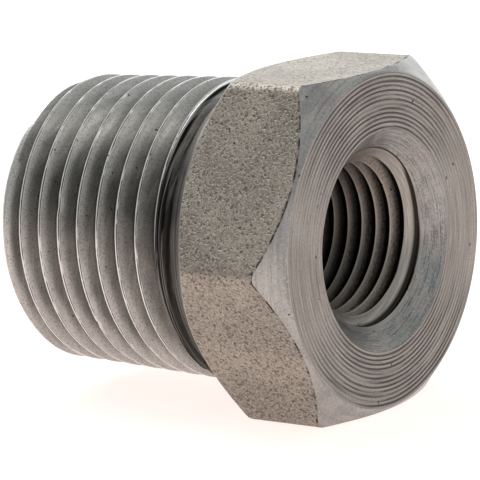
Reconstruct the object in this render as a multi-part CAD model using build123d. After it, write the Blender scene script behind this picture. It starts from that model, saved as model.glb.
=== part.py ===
"""Hex-head reducing bushing: a 3/8 NPT male thread, a 1/8 NPT female thread and one hexagon, all one forging.

The thread axis runs along +X, from the small end of the male thread (origin) to the turned face of the
hexagon. One flat of the hexagon faces down (-Z). Shapes are built along Z and turned onto X at the end.
"""
from build123d import *
import math
import os

# Overall sizes, mm
LENGTH = 21.15
ACROSS_FLATS = 19.05
HEX_HEIGHT = 7.26
CORNER_RADIUS = 0.75
FACE_RADIUS = 9.34
CHAMFER_ANGLE = 41.0
COLLAR_RADIUS = 8.75
COLLAR_BACK = 8.40

# Both threads: 60 degree form on a 1 in 16 taper
TAPER = 1 / 32
TAPER_ANGLE = math.degrees(math.atan(TAPER))
FLANK_SLOPE = math.tan(math.radians(30))

# Male thread, 3/8-18 NPT
MALE_PITCH = 25.4 / 18
MALE_CREST_RADIUS = 8.24
MALE_ROOT_RADIUS = 7.21
MALE_ROOT_HALF_WIDTH = 0.027
MALE_FIRST_GROOVE = -1.75
MALE_START_ANGLE = 255.6
MALE_TURNS = 9.7
END_RADIUS = 7.74
END_CHAMFER_LENGTH = 0.75

# Turned relief behind the last male thread
RELIEF_DEPTH = 0.55
RELIEF_WIDTH = 0.70

# Female thread, 1/8-27 NPT, in a taper-reamed hole; radii are those in the plane of the face
FEMALE_PITCH = 25.4 / 27
FEMALE_CREST_RADIUS = 4.3685
FEMALE_ROOT_RADIUS = 5.121
FEMALE_ROOT_HALF_WIDTH = 0.018
FEMALE_LAST_GROOVE = 9.447
FEMALE_START_ANGLE = 75.6
FEMALE_TURNS = 11.0
HOLE_TURN = 108.3
BORE_RADIUS = 4.05
COUNTERSINK_RADIUS = 6.16

# How far a thread cutter stands past the surface that it cuts
OVERCUT = 0.02


def cone_rise(radial):
    """Axial rise of the hexagon's chamfer over a radial step."""
    return radial * math.tan(math.radians(CHAMFER_ANGLE))


def turned(*points):
    """Solid of revolution about Z from an outline of (radius, height) points."""
    outline = make_face(Polyline(*[(r, 0, z) for r, z in points], close=True))
    return revolve(outline, Axis.Z)


def hexagon():
    """Hexagonal prism with rounded corners, chamfered by a cone at its face and at its back."""
    back = LENGTH - COLLAR_BACK
    polygon = RegularPolygon(ACROSS_FLATS / 2, 6, major_radius=False, rotation=30)
    prism = Pos(0, 0, back) * extrude(polygon, LENGTH - back)
    prism = fillet(prism.edges().filter_by(Axis.Z), CORNER_RADIUS)
    reach = ACROSS_FLATS
    flat_back = LENGTH - HEX_HEIGHT
    collar_top = flat_back - cone_rise(ACROSS_FLATS / 2 - COLLAR_RADIUS)
    envelope = turned(
        (0, back),
        (COLLAR_RADIUS, back),
        (COLLAR_RADIUS, collar_top),
        (reach, collar_top + cone_rise(reach - COLLAR_RADIUS)),
        (reach, LENGTH - cone_rise(reach - FACE_RADIUS) + 2 * ACROSS_FLATS),
        (0, LENGTH + 2 * ACROSS_FLATS),
    )
    face_cone = turned(
        (0, 0),
        (FACE_RADIUS + LENGTH / math.tan(math.radians(CHAMFER_ANGLE)), 0),
        (FACE_RADIUS, LENGTH),
        (0, LENGTH),
    )
    return prism & envelope & face_cone


def male_blank():
    """Tapered blank of the male thread."""
    top = LENGTH - COLLAR_BACK + OVERCUT
    return turned((0, 0), (MALE_CREST_RADIUS, 0), (MALE_CREST_RADIUS + top * TAPER, top), (0, top))


def end_chamfer_cutter():
    """Ring that takes the corner off the small end of the male thread."""
    slope = (MALE_CREST_RADIUS + END_CHAMFER_LENGTH * TAPER - END_RADIUS) / END_CHAMFER_LENGTH
    reach = 2 * END_CHAMFER_LENGTH
    return turned(
        (END_RADIUS - slope, -1),
        (END_RADIUS + slope * reach, reach),
        (COLLAR_RADIUS + 1, reach),
        (COLLAR_RADIUS + 1, -1),
    )


def relief_cutter():
    """Ring with a V-shaped inner side, which leaves the relief groove beside the collar."""
    top = LENGTH - COLLAR_BACK
    bottom = top - RELIEF_WIDTH
    crest = MALE_CREST_RADIUS + top * TAPER
    return turned(
        (crest - RELIEF_DEPTH, top - RELIEF_WIDTH / 4),
        (COLLAR_RADIUS + 1, top),
        (COLLAR_RADIUS + 1, bottom),
        (crest, bottom),
        (crest - RELIEF_DEPTH, bottom + RELIEF_WIDTH / 2),
    )


def thread_cutter(pitch, turns, root_radius, root_half_width, start, angle, depth):
    """Tapered helical V. A positive depth opens outwards from the root, a negative one inwards."""
    path = Helix(pitch, pitch * turns, root_radius, cone_angle=TAPER_ANGLE)
    section_plane = Plane(origin=path @ 0, x_dir=(1, 0, 0), z_dir=path % 0)
    wide = root_half_width + abs(depth) * FLANK_SLOPE
    section = section_plane * make_face(
        Polyline(
            (0, -root_half_width),
            (depth, -wide),
            (depth, wide),
            (0, root_half_width),
            close=True,
        )
    )
    return Pos(0, 0, start) * Rot(0, 0, angle) * sweep(section, path=path, is_frenet=True)


def male_cutter():
    """Groove of the male thread, from outside the small end to the relief."""
    root = MALE_ROOT_RADIUS + MALE_FIRST_GROOVE * TAPER
    depth = MALE_CREST_RADIUS + OVERCUT - MALE_ROOT_RADIUS
    return thread_cutter(
        MALE_PITCH, MALE_TURNS, root, MALE_ROOT_HALF_WIDTH, MALE_FIRST_GROOVE, MALE_START_ANGLE, depth
    )


def female_cutter():
    """Groove of the female thread, from inside the reamed taper to outside the face."""
    root = FEMALE_ROOT_RADIUS - FEMALE_LAST_GROOVE * TAPER
    depth = FEMALE_CREST_RADIUS - OVERCUT - FEMALE_ROOT_RADIUS
    return thread_cutter(
        FEMALE_PITCH,
        FEMALE_TURNS,
        root,
        FEMALE_ROOT_HALF_WIDTH,
        LENGTH - FEMALE_LAST_GROOVE,
        FEMALE_START_ANGLE,
        depth,
    )


def bore_cutter():
    """Drilled through hole, reamed to the thread's taper and countersunk at 90 degrees in the turned face."""
    reamed_depth = (FEMALE_CREST_RADIUS - BORE_RADIUS) / TAPER
    sink_depth = (COUNTERSINK_RADIUS - FEMALE_CREST_RADIUS) / (1 - TAPER)
    return turned(
        (0, -1),
        (BORE_RADIUS, -1),
        (BORE_RADIUS, LENGTH - reamed_depth),
        (COUNTERSINK_RADIUS - sink_depth, LENGTH - sink_depth),
        (COUNTERSINK_RADIUS + 1, LENGTH + 1),
        (0, LENGTH + 1),
    )


def bushing():
    """The finished piece, with its thread axis along +X."""
    body = male_blank() - male_cutter()
    body -= end_chamfer_cutter()
    body -= relief_cutter()
    body += hexagon()
    # The hole and its thread are turned together about the axis, which sets where the thread begins.
    hole_turn = Rot(0, 0, HOLE_TURN)
    body -= hole_turn * bore_cutter()
    body -= hole_turn * female_cutter()
    return Rot(0, 90, 0) * body


os.makedirs("parts", exist_ok=True)
export_step(bushing(), "parts/hex_bushing.step")
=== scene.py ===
import math
import random

import bpy
import numpy as np
from mathutils import Matrix, Vector, noise


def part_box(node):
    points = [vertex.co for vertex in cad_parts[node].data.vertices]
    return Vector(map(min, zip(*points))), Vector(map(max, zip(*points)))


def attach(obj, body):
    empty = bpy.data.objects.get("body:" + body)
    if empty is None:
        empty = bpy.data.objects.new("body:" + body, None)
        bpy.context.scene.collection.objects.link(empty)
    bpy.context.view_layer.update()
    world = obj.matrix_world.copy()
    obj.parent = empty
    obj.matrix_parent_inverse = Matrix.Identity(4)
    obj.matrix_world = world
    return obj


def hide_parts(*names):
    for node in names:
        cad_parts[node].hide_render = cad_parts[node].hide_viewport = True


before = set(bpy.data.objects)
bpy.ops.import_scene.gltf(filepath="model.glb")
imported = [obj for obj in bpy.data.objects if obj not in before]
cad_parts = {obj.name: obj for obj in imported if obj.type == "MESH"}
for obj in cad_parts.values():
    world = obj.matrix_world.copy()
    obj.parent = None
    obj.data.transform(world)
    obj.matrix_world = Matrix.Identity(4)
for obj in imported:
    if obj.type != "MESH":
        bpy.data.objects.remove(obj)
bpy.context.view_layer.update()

# Hex-head reducing bushing. The CAD node is replaced by one closed mesh with the same threads, hexagon and
# bore, finer edges, turning marks, nicks and burrs. Lengths are in millimetres until a mesh is written, and
# angles in degrees about the axis from +Y towards +Z.
NODE = "hex_bushing"
MM = 0.001
low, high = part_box(NODE)

# Sizes read from the CAD node
LENGTH = (high[0] - low[0]) / MM
FLAT_RADIUS = (high[2] - low[2]) / 2 / MM
CORNER_REACH = (high[1] - low[1]) / 2 / MM

# Hexagon; half of one side spans HALF_SIDE as seen from the axis
HALF_SIDE = math.radians(30)
TRUE_CORNER = FLAT_RADIUS / math.cos(HALF_SIDE)
CORNER_ROUNDING = (TRUE_CORNER - CORNER_REACH) / (1 / math.cos(HALF_SIDE) - 1)
HEX_HEIGHT = 7.26
FLAT_BACK = LENGTH - HEX_HEIGHT
FACE_RADIUS = 9.34
CHAMFER_ANGLE = 41
CHAMFER_SLOPE = math.tan(math.radians(CHAMFER_ANGLE))

# Collar behind the hexagon, and the foot of the cone that chamfers the hexagon's back
HEAD_HEIGHT = 8.40
COLLAR_RADIUS = 8.75
COLLAR_BACK = LENGTH - HEAD_HEIGHT
CONE_FOOT = FLAT_BACK - (FLAT_RADIUS - COLLAR_RADIUS) * CHAMFER_SLOPE

# Feed marks on the turned face, between its two rounded edges
COUNTERSINK_RADIUS = 6.16
FEED_MARKS = 12
MARKS_MARGIN = 0.08
MARKS_OUTER = FACE_RADIUS - MARKS_MARGIN
MARKS_INNER = COUNTERSINK_RADIUS + MARKS_MARGIN
MARK_DEPTH = 0.020
FEED = (MARKS_OUTER - MARKS_INNER) / FEED_MARKS

# Both threads: 60 degree form on a 1 in 16 taper
TAPER = 1 / 32
FLANK_SLOPE = math.tan(math.radians(30))

# Male thread
MALE_PITCH = 25.4 / 18
MALE_CREST = 8.24
MALE_ROOT = 7.21
MALE_ROOT_HALF = 0.027
MALE_GROOVE_AT_ZERO = 0.4255
END_RADIUS = 7.74
END_CHAMFER = 0.75
RUN_OUT_START = 11.75
RUN_OUT_SLOPE = 0.9

# Relief groove: its bottom is RELIEF_LEFT from its start and RELIEF_RIGHT from the collar. Over those lengths
# its walls rise by RELIEF_STEEPNESS of its depth. RELIEF_LEAN starts the wall beside the thread at the bottom
# itself; the other wall starts after a short flat.
RELIEF_DEPTH = 0.55
RELIEF_LEFT = 0.48
RELIEF_RIGHT = 0.18
RELIEF_START = COLLAR_BACK - RELIEF_LEFT - RELIEF_RIGHT
RELIEF_STEEPNESS = 1.6
RELIEF_LEAN = 0.6
# Rings across it, by their distance from its start, and the burrs and scores that three of them carry
RELIEF_RINGS = (0.04, 0.09, 0.14, 0.19, 0.24, 0.29, 0.33, 0.37, 0.43, 0.50, 0.56, 0.61, 0.655)
RELIEF_SCORES = {0.14: 0.035, 0.24: -0.03, 0.33: 0.03}

# Wear and burrs along the male crests
NICKS = 46
NICK_HALF_LENGTH = 0.30
BURR_HEIGHT = 0.020
FURROW_DEPTH = 0.030
WAVINESS = 0.004
BURR_FADE = 0.08

# Female thread
FEMALE_PITCH = 25.4 / 27
FEMALE_ROOT = 5.121
FEMALE_ROOT_HALF = 0.018
FEMALE_GROOVE_AT_ZERO = 0.170
FEMALE_CREST = 4.3685
FEMALE_THREAD_DEPTH = 9.4
FEMALE_LEAD = LENGTH - FEMALE_THREAD_DEPTH
FEMALE_LEAD_SLOPE = 0.6
BORE_RADIUS = 4.05

# Mesh: columns of points about the axis, steps across a rounded edge, and the angle that stays sharp
COLUMN_STEP = 1.2
BEVEL_STEPS = 3
SHARP_ANGLE = 32


def theta_columns():
    """Angles about the axis, closer together at the hexagon's rounded corners; the last is 360."""
    angles = set(np.round(np.arange(0, 360, COLUMN_STEP), 3))
    for corner in range(0, 361, 60):
        for steps in (-1.5, -0.5, 0.5, 1.5):
            angles.add(round((corner + steps * COLUMN_STEP) % 360, 3))
    return np.array(sorted(angles) + [360.0])


THETA = theta_columns()


def hexagon_radius(theta):
    """Distance from the axis to the rounded hexagon, with corners at 0, 60, ... degrees."""
    from_corner = np.radians(np.abs((theta + 30) % 60 - 30))
    flat = FLAT_RADIUS / np.cos(HALF_SIDE - from_corner)
    centre = (FLAT_RADIUS - CORNER_ROUNDING) / math.cos(HALF_SIDE)
    tangent = HALF_SIDE - math.atan2(centre / 2, FLAT_RADIUS)
    inside = np.clip(CORNER_ROUNDING**2 - (centre * np.sin(from_corner)) ** 2, 0, None)
    arc = centre * np.cos(from_corner) + np.sqrt(inside)
    return np.where(from_corner < tangent, arc, flat)


def groove_offset(x, theta, pitch, at_zero):
    """Signed axial distance to the nearest groove centre of a right-hand thread."""
    phase = (x - at_zero - pitch * theta / 360) / pitch
    return (phase - np.round(phase)) * pitch


def male_radius(x, theta):
    """Outside of the male thread with its end chamfer, run-out and relief."""
    crest = MALE_CREST + x * TAPER
    offset = groove_offset(x, theta, MALE_PITCH, MALE_GROOVE_AT_ZERO)
    centre = x - offset
    groove = MALE_ROOT + x * TAPER + np.clip(np.abs(offset) - MALE_ROOT_HALF, 0, None) / FLANK_SLOPE
    groove = groove + np.clip(centre - RUN_OUT_START, 0, None) * RUN_OUT_SLOPE
    chamfer_slope = (MALE_CREST + END_CHAMFER * TAPER - END_RADIUS) / END_CHAMFER
    chamfer = END_RADIUS + x * chamfer_slope
    from_bottom = x - (COLLAR_BACK - RELIEF_RIGHT)
    before = from_bottom < 0
    nearness = 1 - np.abs(from_bottom) / np.where(before, RELIEF_LEFT, RELIEF_RIGHT)
    relief = crest - RELIEF_DEPTH * np.clip(RELIEF_STEEPNESS * nearness - RELIEF_LEAN * before, None, 1)
    return np.minimum.reduce([crest, groove, chamfer, relief])


def female_radius(x, theta):
    """Wall of the bore with its reamed taper, thread, the tap's fading lead and the countersink."""
    depth = LENGTH - x
    offset = groove_offset(x, theta, FEMALE_PITCH, FEMALE_GROOVE_AT_ZERO)
    centre = x - offset
    groove = FEMALE_ROOT - depth * TAPER - np.clip(np.abs(offset) - FEMALE_ROOT_HALF, 0, None) / FLANK_SLOPE
    groove = groove - np.clip(FEMALE_LEAD - centre, 0, None) * FEMALE_LEAD_SLOPE
    reamed = FEMALE_CREST - depth * TAPER
    return np.maximum.reduce([groove, COUNTERSINK_RADIUS - depth, reamed, np.full_like(x, BORE_RADIUS)])


class Surface:
    """Rings of points round the axis, from the bore's far mouth outwards and back in.

    Each ring has the zone of the faces between it and the next one.
    """

    def __init__(self):
        self.x, self.r, self.zone = [], [], []

    def ring(self, x, r, zone):
        """Adds a ring; x and r are each one number or one for each column."""
        self.x.append(np.broadcast_to(x, THETA.shape).astype(float))
        self.r.append(np.broadcast_to(r, THETA.shape).astype(float))
        self.zone.append(zone)

    def bevelled(self, before, corner, after, size, zone_in, zone_out):
        """Rounds a corner of the outline: each of before, corner and after is an (x, r) pair."""
        corner = np.array([np.broadcast_to(c, THETA.shape) for c in corner], float)
        ends = []
        for other in (before, after):
            other = np.array([np.broadcast_to(c, THETA.shape) for c in other], float)
            way = other - corner
            ends.append(corner + way / np.linalg.norm(way, axis=0) * size)
        for step in range(BEVEL_STEPS + 1):
            t = step / BEVEL_STEPS
            point = ends[0] * (1 - t) ** 2 + corner * 2 * t * (1 - t) + ends[1] * t**2
            self.ring(point[0], point[1], zone_in if step < BEVEL_STEPS / 2 else zone_out)


# Zones of the surface, which are also the mesh's material slots
END, CHAMFER, THREAD, NECK, FLATS, TURNED, SINK, TAPPED = range(8)


def helical_rows(offsets, pitch, at_zero, start, stop):
    """Axial places of rows that follow a thread, held between start and stop, in order along +X."""
    turns = int((stop - start) / pitch) + 3
    first = math.floor((start - at_zero) / pitch) - 1
    for turn in range(first, first + turns + 1):
        for offset in offsets:
            x = at_zero + pitch * (turn + THETA / 360) + offset
            yield np.clip(x, start, stop), offset


def rough(x, r, scale, seed=0.0):
    """Smooth noise from -1 to 1 along the ring at x and r, with features about 1 / scale mm across."""
    x = np.broadcast_to(x, THETA.shape)
    y, z = r * np.cos(np.radians(THETA)), r * np.sin(np.radians(THETA))
    points = [Vector((a * scale + seed, b * scale, c * scale)) for a, b, c in zip(x, y, z)]
    return np.array([noise.noise(point) for point in points])


def add_end_face(surface):
    """Bevelled far mouth of the bore and the flat face round it."""
    bevel = 0.12
    surface.ring(bevel, BORE_RADIUS, END)
    surface.ring(0, BORE_RADIUS + bevel, END)
    for share in (0.25, 0.5, 0.75):
        surface.ring(0, BORE_RADIUS + (MALE_ROOT - BORE_RADIUS) * share, END)


def male_offsets():
    """Rows over one pitch, counted from a groove's centre: root, flank, crest with its two edges, flank."""
    edge = MALE_ROOT_HALF + (MALE_CREST - MALE_ROOT) * FLANK_SLOPE
    near = 0.05
    rising = [near, *[near + (edge - near) * share for share in (1 / 3, 2 / 3)], edge]
    return [0, *rising, MALE_PITCH / 2, *[MALE_PITCH - row for row in reversed(rising)]]


def make_nicks():
    """Seeded dents on the thread crests: axial place, angle, half width in degrees and depth."""
    draw = random.Random(11)
    nicks = []
    for _ in range(NICKS):
        place, angle = draw.uniform(0.1, 12.0), draw.uniform(0, 360)
        nicks.append((place, angle, draw.uniform(1.2, 3.0), draw.uniform(0.02, 0.09)))
    return nicks


def dented(x, nicks):
    """Depth of the dents at one row of the crest."""
    depth = np.zeros_like(THETA)
    for place, angle, width, deepest in nicks:
        around = np.abs((THETA - angle + 180) % 360 - 180) / width
        along = np.abs(x - place) / NICK_HALF_LENGTH
        depth += deepest * np.clip(1 - around**2, 0, None) * np.clip(1 - along**2, 0, None)
    return depth


def add_male_thread(surface):
    """Male thread up to the relief: each crest is a shallow furrow between two burrs, dented in places."""
    edge = MALE_ROOT_HALF + (MALE_CREST - MALE_ROOT) * FLANK_SLOPE
    nicks = make_nicks()
    slack = 0.01
    for x, offset in helical_rows(male_offsets(), MALE_PITCH, MALE_GROOVE_AT_ZERO, 0, RELIEF_START):
        r = male_radius(x, THETA)
        inside = np.clip(np.minimum(x, RELIEF_START - x) / BURR_FADE, 0, 1)
        change = WAVINESS * rough(x, r, 1.1)
        if edge - slack < offset < MALE_PITCH - edge + slack:
            burr = rough(x, r, 2.2, seed=7.0) + 0.6 * rough(x, r, 6.0, seed=3.0)
            height = BURR_HEIGHT if abs(offset - MALE_PITCH / 2) > slack else -FURROW_DEPTH
            change = change + height * (1 + 0.6 * burr) - dented(x, nicks)
        surface.ring(x, r + change * inside, THREAD)


def add_relief(surface):
    """Scored groove between the last thread and the collar."""
    top, middle = COLLAR_RADIUS - 0.1, 8.4
    for step in RELIEF_RINGS:
        x = np.full_like(THETA, RELIEF_START + step)
        lift = RELIEF_SCORES.get(step, 0) * (1 + rough(x, middle, 1.5, seed=step * 40))
        surface.ring(x, np.minimum(male_radius(x, THETA) + lift, top), NECK)


def add_collar(surface):
    """Collar beside the relief, with a small step round it, up to the foot of the hexagon's back cone."""
    bevel, step_length = 0.04, 0.03
    wall_foot = male_radius(np.full_like(THETA, COLLAR_BACK), THETA)
    below_step = COLLAR_RADIUS - bevel
    ledge = (COLLAR_BACK + CONE_FOOT) / 2
    wall, corner = (COLLAR_BACK, wall_foot), (COLLAR_BACK, below_step)
    surface.ring(*wall, NECK)
    surface.bevelled(wall, corner, (ledge, below_step), bevel, NECK, NECK)
    surface.ring(ledge, below_step, NECK)
    surface.ring(ledge + step_length, COLLAR_RADIUS, NECK)
    surface.ring(CONE_FOOT, COLLAR_RADIUS, CHAMFER)


def add_hexagon(surface):
    """Flats, with the chamfer cones behind and in front of them, and their three rounded edges."""
    back_bevel, front_bevel, face_bevel = 0.10, 0.07, 0.05
    across = hexagon_radius(THETA)
    foot, rim = (CONE_FOOT, COLLAR_RADIUS), (LENGTH, FACE_RADIUS)
    back = FLAT_BACK + (across - FLAT_RADIUS) * CHAMFER_SLOPE
    front = LENGTH - (across - FACE_RADIUS) * CHAMFER_SLOPE
    surface.bevelled(foot, (back, across), (front, across), back_bevel, CHAMFER, FLATS)
    margin = 0.1
    for share in (0.04, 0.25, 0.5, 0.75, 0.96):
        surface.ring(back + margin + (front - back - 2 * margin) * share, across, FLATS)
    surface.bevelled((back, across), (front, across), rim, front_bevel, FLATS, CHAMFER)
    surface.bevelled((front, across), rim, (LENGTH, 0), face_bevel, CHAMFER, TURNED)


def add_turned_face(surface):
    """Feed marks of the facing tool, deeper near the rim and beside the countersink."""
    per_mark = 4
    rows = FEED_MARKS * per_mark
    for row in range(rows + 1):
        across = row / rows
        r = MARKS_OUTER + (MARKS_INNER - MARKS_OUTER) * across
        strength = 0.45 + 0.55 * abs(2 * across - 1) ** 1.5
        wave = 0.5 - 0.5 * math.cos(2 * math.pi * row / per_mark)
        uneven = 1 + 0.6 * rough(row * 0.1, r, 0.5)
        top_and_bottom = 0.25 + 0.75 * np.abs(np.sin(np.radians(THETA))) ** 1.5
        depth = MARK_DEPTH * strength * wave * uneven * top_and_bottom
        surface.ring(LENGTH - depth, r, TURNED)


def add_countersink(surface):
    """Slightly uneven 90 degree cone, from its rounded mouth to the place where the grooves begin."""
    bevel, wobble = 0.06, 0.006
    depth = COUNTERSINK_RADIUS - BORE_RADIUS
    mouth = (LENGTH, COUNTERSINK_RADIUS)
    surface.bevelled((LENGTH, FACE_RADIUS), mouth, (LENGTH - depth, BORE_RADIUS), bevel, TURNED, SINK)
    bottom = COUNTERSINK_RADIUS - FEMALE_ROOT
    for share in np.linspace(0.08, 0.97, 9):
        r = COUNTERSINK_RADIUS - bottom * share
        change = wobble * rough(0, r, 1.5, seed=share * 9)
        surface.ring(LENGTH - bottom * share + change, r, SINK)


def female_offsets():
    """Rows over one pitch, counted from a groove's centre: root, flank, crest with its two edges, flank."""
    half = FEMALE_PITCH / 2
    near = 0.05
    edge = half - near
    rising = [near, edge * 0.5, edge]
    return [0, *rising, half, *[FEMALE_PITCH - row for row in reversed(rising)]]


def add_female_thread(surface):
    """Tapped and reamed taper from the countersink inwards, then the plain bore."""
    mouth = LENGTH - (COUNTERSINK_RADIUS - FEMALE_ROOT)
    deep_end = LENGTH - (FEMALE_CREST - BORE_RADIUS) / TAPER
    rows = list(helical_rows(female_offsets(), FEMALE_PITCH, FEMALE_GROOVE_AT_ZERO, deep_end, mouth))
    for x, _ in reversed(rows):
        surface.ring(x, female_radius(x, THETA), TAPPED)
    surface.ring(deep_end / 2, BORE_RADIUS, TAPPED)


def build_mesh(name, surface):
    """One closed mesh from the rings: equal points are joined, and empty faces are left out."""
    grid_per_mm = 1e5
    x, r = np.array(surface.x), np.array(surface.r)
    angle = np.radians(np.where(THETA >= 360, 0.0, THETA))
    points = np.stack([x, r * np.cos(angle), r * np.sin(angle)], axis=-1)
    rows, columns = x.shape
    keys = np.round(points.reshape(-1, 3) * grid_per_mm).astype(np.int64)
    _, first, inverse = np.unique(keys, axis=0, return_index=True, return_inverse=True)
    index = inverse.reshape(rows, columns)
    faces, zones = [], []
    for row in range(rows):
        below, above = index[row], index[(row + 1) % rows]
        for column in range(columns - 1):
            loop = [below[column], below[column + 1], above[column + 1], above[column]]
            corners = [int(v) for k, v in enumerate(loop) if v != loop[k - 1]]
            if len(corners) > 2 and len(set(corners)) == len(corners):
                faces.append(corners)
                zones.append(surface.zone[row])
    mesh = bpy.data.meshes.new(name)
    mesh.from_pydata((points.reshape(-1, 3)[first] * MM).tolist(), [], faces)
    mesh.polygons.foreach_set("material_index", zones)
    mesh.polygons.foreach_set("use_smooth", [True] * len(faces))
    mesh.validate()
    mesh.set_sharp_from_angle(angle=math.radians(SHARP_ANGLE))
    return mesh


class Pattern:
    """A node material.

    `place` is the point on the part in mm, `parts` are its three parts, and `radius` is its distance from
    the axis. `lines` is a point that moves on along any turned outline, so noise on it looks like tool marks.
    """

    def __init__(self, name, metallic=0.92):
        self.material = bpy.data.materials.new(name)
        self.material.use_nodes = True
        self.tree = self.material.node_tree
        self.shader = self.tree.nodes["Principled BSDF"]
        self.shader.inputs["Metallic"].default_value = metallic
        coordinates = self.node("TexCoord").outputs["Object"]
        self.place = self.vector("SCALE", coordinates, 1 / MM)
        self.parts = self.node("SeparateXYZ", {0: self.place}).outputs
        squares = [self.math("MULTIPLY", self.parts[i], self.parts[i]) for i in (1, 2)]
        self.radius = self.math("SQRT", self.math("ADD", *squares))
        self.lines = self.turning_lines()

    def node(self, kind, values=None, **properties):
        made = self.tree.nodes.new("ShaderNode" + kind)
        for name, value in properties.items():
            setattr(made, name, value)
        for socket, value in (values or {}).items():
            if isinstance(value, bpy.types.NodeSocket):
                self.tree.links.new(value, made.inputs[socket])
            else:
                made.inputs[socket].default_value = value
        return made

    def math(self, operation, a, b=0.0):
        return self.node("Math", {0: a, 1: b}, operation=operation).outputs[0]

    def vector(self, operation, a, b):
        """Vector maths; for SCALE, b is a plain number."""
        socket = "Scale" if operation == "SCALE" else 1
        return self.node("VectorMath", {0: a, socket: b}, operation=operation).outputs[0]

    def turning_lines(self):
        """Point whose first part grows along any turned outline; the other two go once round the axis."""
        axial, around = 2.3, 1.4
        along = self.math("ADD", self.radius, self.math("MULTIPLY", self.parts[0], axial))
        turned = [self.math("DIVIDE", self.parts[i], self.radius) for i in (1, 2)]
        y, z = [self.math("MULTIPLY", part, around) for part in turned]
        return self.node("CombineXYZ", {0: along, 1: y, 2: z}).outputs[0]

    def stretched(self, along, around, shift=0.0):
        """`lines` with its own density along the outline and round the axis."""
        scaled = self.vector("MULTIPLY", self.lines, (along, around, around))
        return self.vector("ADD", scaled, (shift, shift, -shift))

    def from_crest(self, pitch, at_zero):
        """Axial distance to the nearest crest's centre in pitches, 0 to 0.5, along a right-hand thread."""
        turned = self.math("DIVIDE", self.math("ARCTAN2", self.parts[2], self.parts[1]), 2 * math.pi)
        turns = self.math("SUBTRACT", self.math("DIVIDE", self.parts[0], pitch), turned)
        phase = self.math("FRACT", self.math("SUBTRACT", turns, at_zero / pitch))
        return self.math("ABSOLUTE", self.math("SUBTRACT", phase, 0.5))

    def noise(self, vector, scale, detail=2.0, roughness=0.5):
        values = {"Vector": vector, "Scale": scale, "Detail": detail, "Roughness": roughness}
        return self.node("TexNoise", values).outputs[0]

    def specks(self, scale, size, kept):
        """1 inside small spots, one in each of the kept share of cells that are 1 / scale mm across."""
        bent = self.vector("ADD", self.place, self.swirl())
        cells = self.node("TexVoronoi", {"Vector": bent, "Scale": scale}).outputs
        red = self.node("SeparateColor", {0: cells["Color"]}).outputs[0]
        spot = self.ramp(cells["Distance"], size, size * 0.5)
        return self.math("MULTIPLY", spot, self.ramp(red, kept, kept * 0.97))

    def swirl(self):
        """Small smooth shift, which keeps specks from being round."""
        scale, amount = 2.5, 0.35
        colour = self.node("TexNoise", {"Vector": self.place, "Scale": scale, "Detail": 1.0}).outputs["Color"]
        return self.vector("SCALE", self.vector("SUBTRACT", colour, (0.5, 0.5, 0.5)), amount)

    def ramp(self, value, start, stop, low=0.0, high=1.0):
        """Smooth change from low at start to high at stop; start may be the larger one."""
        values = {"Value": value, "From Min": start, "From Max": stop, "To Min": low, "To Max": high}
        if start > stop:
            values.update({"From Min": stop, "From Max": start, "To Min": high, "To Max": low})
        return self.node("MapRange", values, interpolation_type="SMOOTHSTEP").outputs[0]

    def mix(self, share, first, second):
        """Colour that goes from first to second as share goes from 0 to 1."""
        return self.node("Mix", {0: share, 6: first, 7: second}, data_type="RGBA").outputs[2]

    def bump(self, height, depth_mm):
        values = {"Height": height, "Distance": depth_mm * MM, "Strength": 1.0}
        return self.node("Bump", values).outputs[0]

    def finish(self, colour, roughness, normal):
        for socket, value in (("Base Color", colour), ("Roughness", roughness), ("Normal", normal)):
            self.tree.links.new(value, self.shader.inputs[socket])
        return self.material


RUST = (0.20, 0.070, 0.025, 1)
SOOT = (0.035, 0.030, 0.027, 1)
GROOVE_SHADE = (0.030, 0.026, 0.022, 1)


def forged_steel():
    """Flats as forged: warm grey scale full of small dark pits, with a ragged dark line at the front edge."""
    look = Pattern("forged_scale")
    pits = look.ramp(look.noise(look.place, 5.6, 1.0, 0.5), 0.44, 0.31)
    fine_pits = look.ramp(look.noise(look.place, 9.5, 1.0, 0.5), 0.42, 0.30)
    grain = look.noise(look.place, 8.0, 2.0, 0.6)
    patches = look.noise(look.place, 0.28, 2.0)
    colour = look.mix(look.ramp(patches, 0.35, 0.65), (0.231, 0.204, 0.176, 1), (0.320, 0.281, 0.240, 1))
    colour = look.mix(look.ramp(grain, 0.40, 0.66, 0.0, 0.65), colour, (0.50, 0.455, 0.40, 1))
    colour = look.mix(look.math("MULTIPLY", fine_pits, 0.45), colour, (0.10, 0.088, 0.074, 1))
    fine_dots = look.math("MULTIPLY", look.specks(5.2, 0.36, 0.50), 0.7)
    dots = look.math("MAXIMUM", look.specks(3.3, 0.36, 0.62), fine_dots)
    colour = look.mix(look.math("MULTIPLY", dots, 0.62), colour, (0.062, 0.053, 0.044, 1))
    colour = look.mix(look.math("MULTIPLY", pits, 0.60), colour, (0.060, 0.050, 0.040, 1))
    colour = look.mix(look.specks(0.8, 0.09, 0.25), colour, SOOT)
    cone = look.math("MULTIPLY", look.math("SUBTRACT", look.radius, FACE_RADIUS), CHAMFER_SLOPE)
    from_edge = look.math("SUBTRACT", look.math("SUBTRACT", LENGTH, cone), look.parts[0])
    ragged = look.ramp(look.noise(look.place, 1.6, 3.0, 0.6), 0.42, 0.60)
    colour = look.mix(look.math("MULTIPLY", look.ramp(from_edge, 0.14, 0.07), ragged), colour, SOOT)
    height = look.math("SUBTRACT", look.math("MULTIPLY", grain, 0.5), look.math("MAXIMUM", pits, dots))
    roughness = look.ramp(grain, 0.3, 0.7, 0.44, 0.58)
    return look.finish(colour, roughness, look.bump(height, 0.030))


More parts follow.
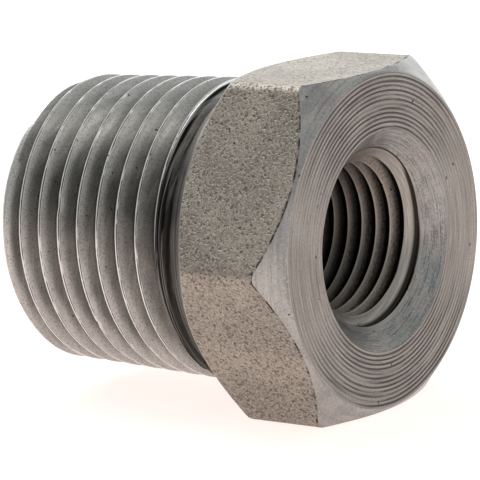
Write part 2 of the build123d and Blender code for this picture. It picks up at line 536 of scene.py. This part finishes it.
def machined_steel():
    """Chamfers of the hexagon: bare grey metal with fine turning lines and a faint grain."""
    look = Pattern("machined_steel")
    fine = look.noise(look.stretched(9.0, 1.0), 1.0, 3.0, 0.7)
    broad = look.noise(look.stretched(1.2, 1.6, 5.0), 1.0, 2.0)
    cloud = look.noise(look.place, 0.5, 3.0)
    colour = look.mix(look.ramp(broad, 0.35, 0.65), (0.270, 0.264, 0.255, 1), (0.370, 0.356, 0.341, 1))
    colour = look.mix(look.ramp(fine, 0.5, 0.7, 0.0, 0.45), colour, (0.42, 0.40, 0.38, 1))
    colour = look.mix(look.ramp(fine, 0.46, 0.30, 0.0, 0.45), colour, (0.12, 0.115, 0.11, 1))
    colour = look.mix(look.ramp(cloud, 0.5, 0.72, 0.0, 0.35), colour, (0.18, 0.19, 0.20, 1))
    grain = look.noise(look.place, 7.5, 2.0, 0.65)
    colour = look.mix(look.ramp(grain, 0.46, 0.34, 0.0, 0.35), colour, (0.12, 0.115, 0.11, 1))
    colour = look.mix(look.ramp(grain, 0.54, 0.68, 0.0, 0.40), colour, (0.50, 0.485, 0.465, 1))
    colour = look.mix(look.specks(1.1, 0.10, 0.25), colour, SOOT)
    roughness = look.ramp(cloud, 0.35, 0.65, 0.28, 0.40)
    return look.finish(colour, roughness, look.bump(fine, 0.006))


def thread_steel():
    """Cut thread: satin grey with faint tool lines, roots darkened by dirt and painted shade, painted
    highlights on the crest rims and beside the crests, a painted shadow in each crest's furrow, and a scored
    last crest.
    """
    look = Pattern("thread_steel", metallic=1.0)
    fine = look.noise(look.stretched(7.0, 1.2), 1.0, 3.0, 0.7)
    grain = look.noise(look.place, 9.0, 2.0, 0.6)
    cloud = look.noise(look.place, 0.35, 2.0)
    from_crest = look.from_crest(MALE_PITCH, MALE_GROOVE_AT_ZERO)
    colour = look.mix(look.ramp(cloud, 0.35, 0.65), (0.268, 0.262, 0.252, 1), (0.352, 0.341, 0.326, 1))
    # Painted highlight: the flanks lighter in a band beside each crest.
    colour = look.mix(look.ramp(from_crest, 0.25, 0.10, 0.0, 0.50), colour, (0.56, 0.55, 0.53, 1))
    colour = look.mix(look.ramp(fine, 0.45, 0.7, 0.0, 0.40), colour, (0.62, 0.61, 0.59, 1))
    colour = look.mix(look.ramp(grain, 0.50, 0.36, 0.0, 0.45), colour, (0.13, 0.12, 0.11, 1))
    rise = look.math("MULTIPLY", look.parts[0], TAPER)
    above_root = look.math("SUBTRACT", look.radius, look.math("ADD", rise, MALE_ROOT))
    # Roots darker, partly dirt and partly painted shade where the next crest hides them.
    colour = look.mix(look.ramp(above_root, 0.34, 0.12, 0.0, 0.78), colour, (0.080, 0.071, 0.064, 1))
    crest_height = MALE_CREST - MALE_ROOT
    on_crest = look.ramp(above_root, crest_height - 0.12, crest_height - 0.05)
    broken = look.ramp(look.noise(look.place, 0.9, 3.0, 0.6), 0.34, 0.50, 0.25, 1.0)
    # Painted highlight along both rims of each crest.
    rim = look.math("MULTIPLY", look.ramp(from_crest, 0.080, 0.055), on_crest)
    # Painted shadow line in the furrow of each crest, broken in places.
    furrow = look.math("MULTIPLY", on_crest, broken)
    furrow = look.math("MULTIPLY", look.ramp(from_crest, 0.036, 0.014), furrow)
    colour = look.mix(look.math("MULTIPLY", rim, 0.75), colour, (0.80, 0.785, 0.76, 1))
    colour = look.mix(look.math("MULTIPLY", furrow, 0.92), colour, (0.040, 0.036, 0.033, 1))
    last_crest = look.math(
        "MULTIPLY",
        look.ramp(look.parts[0], RUN_OUT_START - 0.25, RUN_OUT_START - 0.05),
        look.ramp(above_root, crest_height - 0.25, crest_height - 0.12),
    )
    score = look.noise(look.stretched(4.0, 0.6), 1.0, 2.0, 0.6)
    scored = look.mix(look.ramp(score, 0.50, 0.57), (0.012, 0.011, 0.010, 1), (0.17, 0.165, 0.158, 1))
    colour = look.mix(last_crest, colour, scored)
    colour = look.mix(look.specks(0.9, 0.085, 0.35), colour, SOOT)
    colour = look.mix(look.specks(2.2, 0.14, 0.10), colour, SOOT)
    colour = look.mix(look.specks(0.6, 0.08, 0.35), colour, RUST)
    dulled = look.math("MULTIPLY", last_crest, 0.20)
    roughness = look.math("ADD", look.ramp(cloud, 0.35, 0.65, 0.27, 0.34), dulled)
    height = look.math("ADD", fine, look.math("MULTIPLY", grain, 0.8))
    return look.finish(colour, roughness, look.bump(height, 0.005))


def neck_steel():
    """Relief and collar: dull dark metal scored by the relief tool; the dark base tone is partly painted
    shade of the relief groove.
    """
    look = Pattern("collar")
    score = look.noise(look.stretched(5.0, 0.6), 1.0, 2.0, 0.6)
    cloud = look.noise(look.place, 0.6, 2.0)
    # Dark base tone, partly the metal's own and partly painted shade.
    colour = look.mix(look.ramp(cloud, 0.35, 0.65), (0.105, 0.099, 0.093, 1), (0.150, 0.142, 0.134, 1))
    colour = look.mix(look.ramp(score, 0.53, 0.46, 0.0, 0.72), colour, (0.034, 0.031, 0.028, 1))
    colour = look.mix(look.ramp(score, 0.58, 0.64, 0.0, 0.6), colour, (0.30, 0.286, 0.272, 1))
    colour = look.mix(look.specks(1.6, 0.10, 0.30), colour, SOOT)
    return look.finish(colour, look.ramp(cloud, 0.35, 0.65, 0.46, 0.56), look.bump(score, 0.012))


def turned_steel():
    """Hexagon's face and small end: rings of the facing tool over warm grey, their darkness painted shade
    that is strong at the top and bottom and faint on the two sides.
    """
    look = Pattern("turned_face")
    wander = look.math("SUBTRACT", look.noise(look.stretched(1.2, 0.8), 1.0, 2.0), 0.5)
    marks = look.math("MULTIPLY", look.math("SUBTRACT", MARKS_OUTER, look.radius), 2 * math.pi / FEED)
    wave = look.math("COSINE", look.math("ADD", marks, look.math("MULTIPLY", wander, 1.9)))
    upright = look.math("ABSOLUTE", look.math("DIVIDE", look.parts[2], look.radius))
    patchy = look.noise(look.stretched(3.6, 1.3, 9.0), 1.0, 3.0, 0.6)
    patchy = look.ramp(patchy, 0.32, 0.54, 0.25, 1.0)
    top_and_bottom = look.math("MULTIPLY", look.ramp(upright, 0.25, 0.85, 0.12, 1.0), patchy)
    # Painted shade: the feed-mark rings darkened, most at the top and bottom and patchily, as light falls on
    # the turned face.
    groove = look.math("MULTIPLY", look.ramp(wave, 0.35, -0.85), top_and_bottom)
    grain = look.noise(look.place, 8.0, 2.0, 0.6)
    hair = look.noise(look.stretched(14.0, 1.6, 3.0), 1.0, 2.0, 0.6)
    cloud = look.noise(look.place, 0.3, 2.0)
    colour = look.mix(look.ramp(cloud, 0.35, 0.65), (0.215, 0.204, 0.192, 1), (0.275, 0.262, 0.248, 1))
    colour = look.mix(look.ramp(hair, 0.50, 0.7, 0.0, 0.45), colour, (0.42, 0.40, 0.375, 1))
    colour = look.mix(look.ramp(hair, 0.48, 0.3, 0.0, 0.60), colour, (0.085, 0.076, 0.068, 1))
    colour = look.mix(look.ramp(grain, 0.46, 0.32, 0.0, 0.45), colour, (0.100, 0.088, 0.076, 1))
    colour = look.mix(look.math("MULTIPLY", groove, 0.90), colour, (0.035, 0.031, 0.027, 1))
    colour = look.mix(look.specks(0.9, 0.10, 0.30), colour, SOOT)
    colour = look.mix(look.specks(0.6, 0.07, 0.30), colour, RUST)
    roughness = look.ramp(cloud, 0.35, 0.65, 0.30, 0.38)
    height = look.math("SUBTRACT", look.math("MULTIPLY", hair, 0.5), groove)
    return look.finish(colour, roughness, look.bump(height, 0.020))


def with_groove_line(look, colour, start, stop, share):
    """Paints shade along the line of the female groove, which fades out here, where share is 1."""
    on_groove = look.ramp(look.from_crest(FEMALE_PITCH, FEMALE_GROOVE_AT_ZERO), start, stop)
    return look.mix(look.math("MULTIPLY", on_groove, share), colour, GROOVE_SHADE)


def countersunk_steel():
    """Countersink: fine round scratches over faintly bluish patches, and a painted shadow line where the last
    groove ends.
    """
    look = Pattern("countersink")
    fine = look.noise(look.stretched(4.5, 1.0), 1.0, 4.0, 0.7)
    cloud = look.noise(look.place, 0.9, 3.0, 0.6)
    colour = look.mix(look.ramp(cloud, 0.35, 0.66), (0.268, 0.273, 0.270, 1), (0.328, 0.311, 0.293, 1))
    scratch = look.noise(look.stretched(9.0, 2.2, 4.0), 1.0, 3.0, 0.7)
    colour = look.mix(look.ramp(fine, 0.46, 0.30, 0.0, 0.7), colour, (0.075, 0.07, 0.065, 1))
    colour = look.mix(look.ramp(fine, 0.54, 0.7, 0.0, 0.6), colour, (0.40, 0.39, 0.37, 1))
    grain = look.noise(look.place, 7.5, 2.0, 0.65)
    colour = look.mix(look.ramp(scratch, 0.48, 0.38, 0.0, 0.80), colour, (0.075, 0.068, 0.061, 1))
    colour = look.mix(look.ramp(grain, 0.47, 0.34, 0.0, 0.35), colour, (0.090, 0.082, 0.074, 1))
    colour = look.mix(look.ramp(grain, 0.54, 0.68, 0.0, 0.35), colour, (0.46, 0.45, 0.43, 1))
    depth = look.math("SUBTRACT", LENGTH, look.parts[0])
    # Painted shadow where the last groove runs out into the countersink.
    colour = with_groove_line(look, colour, 0.450, 0.485, look.ramp(depth, 0.86, 0.98))
    colour = look.mix(look.specks(1.0, 0.08, 0.3), colour, SOOT)
    colour = look.mix(look.specks(2.6, 0.12, 0.18), colour, SOOT)
    roughness = look.ramp(cloud, 0.35, 0.65, 0.28, 0.40)
    return look.finish(colour, roughness, look.bump(fine, 0.010))


def tapped_steel():
    """Tapped thread and bore: painted light beside the countersink and on the crests; inwards darker and
    browner, partly dirt and partly painted shade, with painted shade in the roots and along the fading
    groove.
    """
    look = Pattern("tapped_thread")
    fine = look.noise(look.stretched(5.0, 1.5), 1.0, 3.0, 0.6)
    grain = look.noise(look.place, 7.0, 2.0)
    depth = look.math("SUBTRACT", LENGTH, look.parts[0])
    crest = look.math("SUBTRACT", FEMALE_CREST, look.math("MULTIPLY", depth, TAPER))
    above_crest = look.math("SUBTRACT", look.radius, crest)
    dark = look.mix(look.ramp(grain, 0.35, 0.65), (0.150, 0.130, 0.112, 1), (0.240, 0.212, 0.186, 1))
    clean_and_lit = look.mix(look.ramp(fine, 0.35, 0.7), (0.25, 0.235, 0.215, 1), (0.40, 0.375, 0.345, 1))
    # Painted highlight: the crests get the lighter tone.
    colour = look.mix(look.ramp(above_crest, 0.11, 0.02, 0.0, 0.80), dark, clean_and_lit)
    # Darker deeper in the bore, partly dirt and partly painted shade.
    colour = look.mix(look.ramp(depth, 2.5, 6.5, 0.0, 0.70), colour, (0.045, 0.038, 0.032, 1))
    # Painted light: the lighter tone again beside the countersink.
    colour = look.mix(look.ramp(depth, 1.95, 1.65), colour, clean_and_lit)
    above_sink = look.math("SUBTRACT", look.radius, look.math("SUBTRACT", COUNTERSINK_RADIUS, depth))
    # Painted shade in the roots of the grooves.
    root = look.math("MULTIPLY", look.ramp(above_crest, 0.40, 0.60), look.ramp(above_sink, 0.01, 0.05))
    colour = look.mix(root, colour, (0.022, 0.018, 0.015, 1))
    # Painted shadow along the groove where it fades out.
    colour = with_groove_line(look, colour, 0.440, 0.480, look.ramp(depth, 1.60, 1.30))
    colour = look.mix(look.specks(1.4, 0.12, 0.35), colour, SOOT)
    return look.finish(colour, look.ramp(grain, 0.35, 0.65, 0.32, 0.45), look.bump(fine, 0.006))


def add_bushing():
    """The whole bushing as one piece that stands for the CAD node."""
    surface = Surface()
    for add_part in (
        add_end_face,
        add_male_thread,
        add_relief,
        add_collar,
        add_hexagon,
        add_turned_face,
        add_countersink,
        add_female_thread,
    ):
        add_part(surface)
    mesh = build_mesh("bushing", surface)
    turned = turned_steel()
    finishes = {
        END: turned,
        CHAMFER: machined_steel(),
        THREAD: thread_steel(),
        NECK: neck_steel(),
        FLATS: forged_steel(),
        TURNED: turned,
        SINK: countersunk_steel(),
        TAPPED: tapped_steel(),
    }
    for zone in sorted(finishes):
        mesh.materials.append(finishes[zone])
    piece = bpy.data.objects.new("bushing", mesh)
    bpy.context.scene.collection.objects.link(piece)
    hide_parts(NODE)
    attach(piece, "root")


def add_floor():
    """Round pale floor under the lower flat."""
    radius, sides = 3.0, 96
    mesh = bpy.data.meshes.new("floor")
    turn = 2 * math.pi / sides
    rim = [(radius * math.cos(i * turn), radius * math.sin(i * turn), low[2]) for i in range(sides)]
    mesh.from_pydata(rim, [], [list(range(sides))])
    floor = bpy.data.objects.new("floor", mesh)
    bpy.context.scene.collection.objects.link(floor)
    paint = bpy.data.materials.new("floor_paint")
    paint.use_nodes = True
    shader = paint.node_tree.nodes["Principled BSDF"]
    shader.inputs["Base Color"].default_value = (0.36, 0.345, 0.34, 1)
    shader.inputs["Emission Color"].default_value = (1.0, 0.870, 0.820, 1)
    shader.inputs["Emission Strength"].default_value = 0.95
    shader.inputs["Roughness"].default_value = 0.9
    shader.inputs["Specular IOR Level"].default_value = 0.1
    mesh.materials.append(paint)


def add_world():
    """Soft studio light: brighter above and behind, dimmer on two sides."""
    world = bpy.data.worlds.new("studio")
    bpy.context.scene.world = world
    world.use_nodes = True
    tree = world.node_tree
    background = tree.nodes["Background"]
    direction = tree.nodes.new("ShaderNodeTexCoord").outputs["Generated"]

    def lobe(towards, start, stop, low_value, high_value):
        dot = tree.nodes.new("ShaderNodeVectorMath")
        dot.operation = "DOT_PRODUCT"
        dot.inputs[1].default_value = Vector(towards).normalized()
        tree.links.new(direction, dot.inputs[0])
        change = tree.nodes.new("ShaderNodeMapRange")
        change.interpolation_type = "SMOOTHSTEP"
        values = {"From Min": start, "From Max": stop, "To Min": low_value, "To Max": high_value}
        for socket, value in values.items():
            change.inputs[socket].default_value = value
        tree.links.new(dot.outputs["Value"], change.inputs["Value"])
        return change.outputs[0]

    lobes = [
        ("MULTIPLY", lobe((-0.60, -0.78, 0.15), 0.55, 0.95, 1.0, 0.48)),
        ("MULTIPLY", lobe((0.60, 0.76, 0.05), 0.94, 0.995, 1.0, 0.45)),
        ("ADD", lobe((-0.55, 0.80, 0.25), 0.60, 0.95, 0.0, 1.0)),
        ("ADD", lobe((-0.55, 0.20, 0.80), 0.80, 0.97, 0.0, 1.4)),
    ]
    strength = 0.72
    for operation, value in lobes:
        combined = tree.nodes.new("ShaderNodeMath")
        combined.operation = operation
        if isinstance(strength, float):
            combined.inputs[0].default_value = strength
        else:
            tree.links.new(strength, combined.inputs[0])
        tree.links.new(value, combined.inputs[1])
        strength = combined.outputs[0]
    tree.links.new(strength, background.inputs["Strength"])
    background.inputs["Color"].default_value = (0.97, 1.0, 1.0, 1)


def add_softbox(name, place, aim, size, power):
    """Round area light at place, turned towards aim; the camera doesn't see it."""
    data = bpy.data.lights.new(name, "AREA")
    data.shape = "DISK"
    data.size = size
    data.energy = power
    light = bpy.data.objects.new(name, data)
    light.location = place
    light.rotation_euler = (Vector(aim) - Vector(place)).to_track_quat("-Z", "Y").to_euler()
    light.visible_camera = False
    bpy.context.scene.collection.objects.link(light)


def add_camera():
    """Long lens, a little above the axis, turned towards the hexagon's face and rolled slightly."""
    aim = Vector((14.64, -4.76, 0.55)) * MM
    distance = 201.3 * MM
    azimuth, elevation, roll = (math.radians(a) for a in (36.82, 11.83, -3.48))
    level_part = math.cos(elevation)
    forward = Vector((-math.sin(azimuth) * level_part, math.cos(azimuth) * level_part, -math.sin(elevation)))
    level = Vector((math.cos(azimuth), math.sin(azimuth), 0))
    right = level * math.cos(roll) + level.cross(forward) * math.sin(roll)
    up = right.cross(forward)
    data = bpy.data.cameras.new("camera")
    data.sensor_width = 36
    data.lens = 273.3
    data.clip_start = 0.01
    data.clip_end = 20
    camera = bpy.data.objects.new("camera", data)
    turn = Matrix((right, up, -forward)).transposed().to_4x4()
    camera.matrix_world = Matrix.Translation(aim - forward * distance) @ turn
    bpy.context.scene.collection.objects.link(camera)
    bpy.context.scene.camera = camera


add_bushing()
add_floor()
add_world()
add_softbox("overhead", place=(-0.3, 0.05, 0.6), aim=(0.01, 0, 0), size=0.35, power=1.1)
add_camera()
bpy.context.scene.view_settings.view_transform = "Standard"


def corners(bounds):
    return [list(corner) for corner in bounds]
